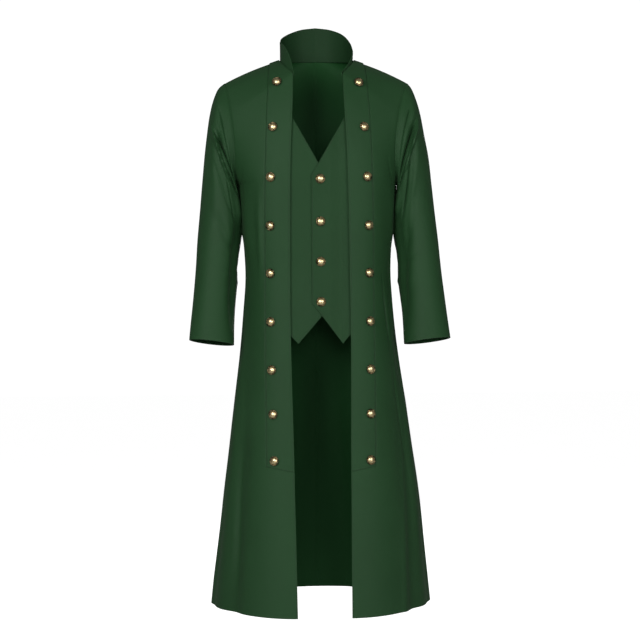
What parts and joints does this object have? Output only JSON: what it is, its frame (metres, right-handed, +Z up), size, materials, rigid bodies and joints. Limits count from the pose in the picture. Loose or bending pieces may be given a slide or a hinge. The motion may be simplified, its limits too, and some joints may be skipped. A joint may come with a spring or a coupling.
{
  "type": "long stand-collar coat, worn open, with built-in waistcoat fronts",
  "caption": "Long dark green stand-collar coat in its worn, hollow form, open in front over built-in waistcoat fronts, with domed brass buttons on two bands",
  "frame": {"origin": "centre of the neck opening, level with the middle of the shoulder seams that carry the coat", "axes": "X to the wearer's left, Y to the wearer's back, Z up; the open front faces -Y"},
  "size_m": [0.6165, 0.362, 1.3961],
  "materials": {
    "coat_cloth": "matte",
    "waistcoat_cloth": "matte",
    "button_metal": "polished"
  },
  "bodies": {
    "root": {"front_left": "coat_cloth", "front_right": "coat_cloth", "front_skirt_left": "coat_cloth", "front_skirt_right": "coat_cloth", "back_left": "coat_cloth", "back_right": "coat_cloth", "back_skirt_left": "coat_cloth", "back_skirt_right": "coat_cloth", "sleeve_left": "coat_cloth", "sleeve_right": "coat_cloth", "sleeve_lower_left": "coat_cloth", "sleeve_lower_right": "coat_cloth", "collar": "coat_cloth", "button_band_left": "coat_cloth", "button_band_right": "coat_cloth", "waistcoat_left": "waistcoat_cloth", "waistcoat_right": "waistcoat_cloth", "button_left_1": "button_metal", "button_left_2": "button_metal", "button_left_3": "button_metal", "button_left_4": "button_metal", "button_left_5": "button_metal", "button_left_6": "button_metal", "button_left_7": "button_metal", "button_left_8": "button_metal", "button_left_9": "button_metal", "button_right_1": "button_metal", "button_right_2": "button_metal", "button_right_3": "button_metal", "button_right_4": "button_metal", "button_right_5": "button_metal", "button_right_6": "button_metal", "button_right_7": "button_metal", "button_right_8": "button_metal", "button_right_9": "button_metal", "button_waistcoat_1": "button_metal", "button_waistcoat_2": "button_metal", "button_waistcoat_3": "button_metal", "button_waistcoat_4": "button_metal"}
  },
  "joints": []
}
